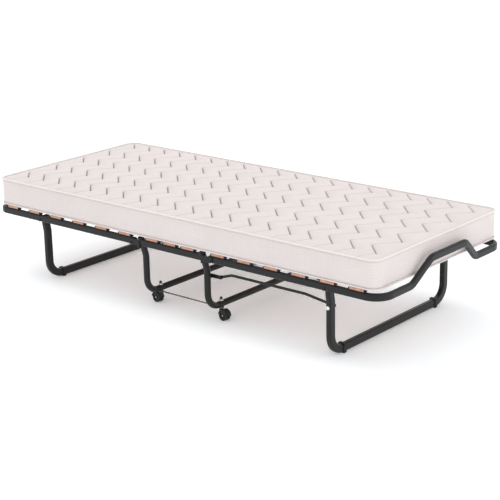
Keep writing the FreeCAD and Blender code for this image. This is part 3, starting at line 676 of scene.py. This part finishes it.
def cover():
    """The whole quilted cover as one closed mesh: (points, faces, shade of each point)."""
    flat, faces, boundary = panel()
    count = len(flat)
    plan = flat[:, :2]
    inner = smooth((edge_distance(plan) - SEAM_INSET) / CROWN_REACH)
    top = np.column_stack((plan, HIGH[2] - SEAM_DROP + inner * (SEAM_DROP - PANEL_DROP)))
    top += swell(top) * inner[:, None]
    sunk, shade = stitching(plan)
    top[:, 2] -= sunk
    rings = []
    rim = plan[boundary]
    out = outward(rim)
    for inset, height in border_profile():
        ring = np.column_stack((rim + out * (SEAM_INSET - inset), np.full(len(rim), height)))
        if inset == BORDER_INSET:
            ring += swell(ring) * np.array((1.0, 1.0, 0.0))
        rings.append(ring)
    bottom_plan = plan.copy()
    bottom_plan[boundary] -= out * (UNDERSIDE_INSET - SEAM_INSET)
    bottom = np.column_stack((bottom_plan, LOW[2] + link_relief(bottom_plan)))
    points = np.vstack((top, *rings, bottom))
    last = len(points) - count
    loops = [boundary]
    loops += [np.arange(len(rim)) + count + ring * len(rim) for ring in range(len(rings))]
    loops.append(boundary + last)
    sides = []
    for upper, lower in zip(loops, loops[1:]):
        for here, there, below_there, below in zip(upper, np.roll(upper, -1), np.roll(lower, -1), lower):
            sides.append([there, here, below, below_there])
    under = [[last + index for index in reversed(face)] for face in faces]
    shades = np.zeros(len(points))
    shades[:count] = shade
    return points, faces + sides + under, shades


def tube(path, radius, sides):
    """A closed tube round a closed flat path: (points, faces)."""
    out = outward(path[:, :2])
    points = []
    for side in range(sides):
        angle = math.tau * side / sides
        ring = path.copy()
        ring[:, :2] += out * radius * math.cos(angle)
        ring[:, 2] += radius * math.sin(angle)
        points.append(ring)
    count = len(path)
    faces = []
    for side in range(sides):
        following = (side + 1) % sides
        for index in range(count):
            nearby = (index + 1) % count
            faces.append((
                side * count + index, side * count + nearby,
                following * count + nearby, following * count + index,
            ))
    return np.vstack(points), faces


def piping(height):
    """A piping cord all round one edge of the mattress."""
    loop = outline_loop(PIPING_INSET, PIPING_STEP)
    path = np.column_stack((loop, np.full(len(loop), height)))
    return tube(path, PIPING_RADIUS, PIPING_SIDES)


BEND_START = 0.02
BEND_SLOPE = 1.2


def fold_weight(points, axis):
    """How far each point has turned with the end section: the bend is tight low down and wide above."""
    beyond = np.abs(points[:, 0]) - abs(axis.x)
    reach = np.maximum(BEND_START, BEND_SLOPE * (points[:, 2] - axis.z))
    return smooth((beyond + reach) / (2.0 * reach))


def half_of(name, points, faces, attributes, side, material):
    """The half of a mesh on one side of X = 0, closed where it is cut, bending with that end section."""
    mesh = bpy.data.meshes.new(name)
    mesh.from_pydata(points.tolist(), [], [list(map(int, face)) for face in faces])
    for key, values in attributes.items():
        kind = "FLOAT_VECTOR" if values.ndim == 2 else "FLOAT"
        field = "vector" if values.ndim == 2 else "value"
        layer = mesh.attributes.new(key, kind, "POINT")
        layer.data.foreach_set(field, values.astype(np.float32).ravel())
    work = bmesh.new()
    work.from_mesh(mesh)
    whole = [*work.verts, *work.edges, *work.faces]
    cut = bmesh.ops.bisect_plane(
        work, geom=whole, dist=1e-6, plane_co=(0.0, 0.0, 0.0), plane_no=(-side, 0.0, 0.0), clear_outer=True
    )
    rim = [item for item in cut["geom_cut"] if isinstance(item, bmesh.types.BMEdge)]
    for face in work.faces:
        face.smooth = True
    closed = bmesh.ops.edgenet_fill(work, edges=rim)
    for face in closed["faces"]:
        face.smooth = False
        for edge in face.edges:
            edge.smooth = False
    bmesh.ops.recalc_face_normals(work, faces=work.faces)
    work.to_mesh(mesh)
    work.free()
    mesh.materials.append(material)
    made = bpy.data.objects.new(name, mesh)
    bpy.context.scene.collection.objects.link(made)
    section, joint = ("foot", "foot_fold") if side < 0 else ("head", "head_fold")
    axis = hinge[joint]
    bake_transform(made, "middle", section, start=(axis.x * 0.5, 0, axis.z), end=(axis.x * 1.5, 0, axis.z))
    weight = fold_weight(coordinates(mesh), axis)
    mesh.attributes["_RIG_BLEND"].data.foreach_set("value", weight.astype(np.float32))
    return made


# ---------------------------------------------------------------- mattress materials


BORDER_CELLS_END = 0.012
BORDER_CELLS_FADE = 0.004
LINING_END = 0.001
LINING_FADE = 0.002


def knit_cover():
    """Off-white knit with a slight pink cast: rows of small cells, strongest on the border, with painted
    shade in their hollows, fine ribs, duller stitched folds darkened by painted shade and a painted shadow
    beside the steep strokes, and a plain white lining underneath."""
    made = Shader("mattress_knit", place="rest_place", Sheen_Weight=0.25, Sheen_Roughness=0.5)
    height = made.height()
    cells_end = HIGH[2] - BORDER_CELLS_END
    lining_end = LOW[2] + LINING_END
    on_border = made.between(height, cells_end, cells_end + BORDER_CELLS_FADE, 1.0, 0.0)
    on_lining = made.between(height, lining_end, lining_end + LINING_FADE, 1.0, 0.0)
    ribs = made.waves(160.0, "X", distortion=0.6)
    courses = made.waves(210.0, "Z", distortion=0.6)
    across = made.waves(160.0, "Y", distortion=0.6)
    weave = made.sum(made.sum(ribs, courses), across)
    around = made.waves(48.0, "DIAGONAL", made.stretched((1.0, 1.0, 0.0)), distortion=1.6)
    stacked = made.waves(29.0, "Z", distortion=1.6)
    border_cells = made.times(around, stacked)
    loops = made.between(made.cells(120.0), 0.15, 0.60, 1.0, 0.0)
    relief = made.sum(made.times(border_cells, on_border), loops, 0.35)
    clouds = made.noise(9.0, 5.0, 0.6)
    knit = made.colours(clouds, ((0.3, (0.704, 0.636, 0.622)), (0.7, (0.741, 0.670, 0.656))))
    # Painted shade: the hollows between the knit cells are mixed towards a darker colour, more on the border
    # than on top.
    hollow_shade_strength = made.between(on_border, 0.0, 1.0, 0.10, 0.26)
    hollow_shade = made.between(relief, 0.0, 0.7, 1.0, 0.0)
    cell_with_painted_shade = made.mix(made.times(hollow_shade, hollow_shade_strength), knit, (0.570, 0.503, 0.487))
    # Painted shade: the stitch_shade attribute darkens the colour in each stitched fold and paints a shadow
    # on the +X side of the steep strokes.
    fold = made.attribute("stitch_shade")
    quilted = made.mix(made.times(fold, 0.68), cell_with_painted_shade, (0.230, 0.205, 0.200))
    colour = made.mix(on_lining, quilted, (0.745, 0.765, 0.775))
    roughness = made.between(weave, 0.6, 2.2, 0.92, 0.78)
    fine = made.bump(weave, 0.00018, 0.5)
    return made.finish(colour, roughness, made.bump(relief, 0.0009, 0.6, fine))


def piping_tape():
    """The folded satin tape of the top piping, a little lighter than the cover, with a diagonal twill."""
    made = Shader("piping_tape", place="rest_place", Sheen_Weight=0.15, Sheen_Roughness=0.4)
    twill = made.waves(420.0, "DIAGONAL", distortion=0.3)
    clouds = made.noise(30.0, 3.0, 0.6)
    tone = made.colours(clouds, ((0.3, (0.775, 0.722, 0.695)), (0.7, (0.815, 0.765, 0.738))))
    roughness = made.between(twill, 0.0, 1.0, 0.55, 0.72)
    return made.finish(tone, roughness, made.bump(twill, 0.0002, 0.5))


KNIT = knit_cover()
TAPE = piping_tape()

cover_points, cover_faces, cover_shade = cover()
cover_layers = {"rest_place": cover_points, "stitch_shade": cover_shade}
mattress_nodes = {
    "foot": ("mattress_foot", "mattress_fold_foot", "mattress_middle"),
    "head": ("mattress_head", "mattress_fold_head"),
}
piping_heights = {
    "top": HIGH[2] - PIPING_RADIUS - PIPING_DROP,
    "bottom": LOW[2] + PIPING_RADIUS,
}
piping_materials = {"top": TAPE, "bottom": KNIT}

for end, side in (("foot", -1), ("head", 1)):
    padded = half_of(f"mattress_cover_{end}", cover_points, cover_faces, cover_layers, side, KNIT)
    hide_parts(*mattress_nodes[end])
    for level, height in piping_heights.items():
        cord_points, cord_faces = piping(height)
        cord_layers = {"rest_place": cord_points}
        cord_name = f"mattress_piping_{level}_{end}"
        half_of(cord_name, cord_points, cord_faces, cord_layers, side, piping_materials[level])


# ---------------------------------------------------------------- floor and light

FLOOR_HALF = 40.0
FLOOR_COLOUR = (0.905, 0.945, 0.970)
FLOOR_GLOW = 0.195
WORLD_STRENGTH = 1.04


def studio_floor():
    """A wide pale floor with the faintest unevenness."""
    corners = [
        (-FLOOR_HALF, -FLOOR_HALF, 0.0), (FLOOR_HALF, -FLOOR_HALF, 0.0),
        (FLOOR_HALF, FLOOR_HALF, 0.0), (-FLOOR_HALF, FLOOR_HALF, 0.0),
    ]
    made = new_object("studio_floor", corners, [(0, 1, 2, 3)])
    shader = Shader(
        "studio_floor", Specular_IOR_Level=0.2,
        Emission_Color=(1.0, 1.0, 1.0, 1.0), Emission_Strength=FLOOR_GLOW,
    )
    clouds = shader.noise(1.5, 2.0)
    tone = shader.mix(shader.between(clouds, 0.2, 0.8, 0.0, 0.2), FLOOR_COLOUR, (0.920, 0.955, 0.980))
    roughness = shader.between(clouds, 0.2, 0.8, 0.85, 0.95)
    made.data.materials.append(shader.finish(tone, roughness, shader.bump(clouds, 0.0001, 0.1)))


def sun(name, direction, strength, spread):
    """A soft lamp without falloff; direction points from the object towards it."""
    lamp = bpy.data.lights.new(name, "SUN")
    lamp.energy = strength
    lamp.angle = math.radians(spread)
    made = bpy.data.objects.new(name, lamp)
    made.rotation_mode = "QUATERNION"
    made.rotation_quaternion = Vector(direction).to_track_quat("Z", "Y")
    bpy.context.scene.collection.objects.link(made)


studio_floor()
world = bpy.data.worlds.new("studio")
world.use_nodes = True
world.node_tree.nodes["Background"].inputs["Color"].default_value = (1.0, 1.0, 1.0, 1.0)
world.node_tree.nodes["Background"].inputs["Strength"].default_value = WORLD_STRENGTH
bpy.context.scene.world = world
bpy.context.scene.view_settings.view_transform = "Standard"
sun("overhead", (-0.45, 0.0, 1.0), 0.34, 25.0)
sun("end_fill", (1.0, -0.1, 0.15), 0.45, 40.0)
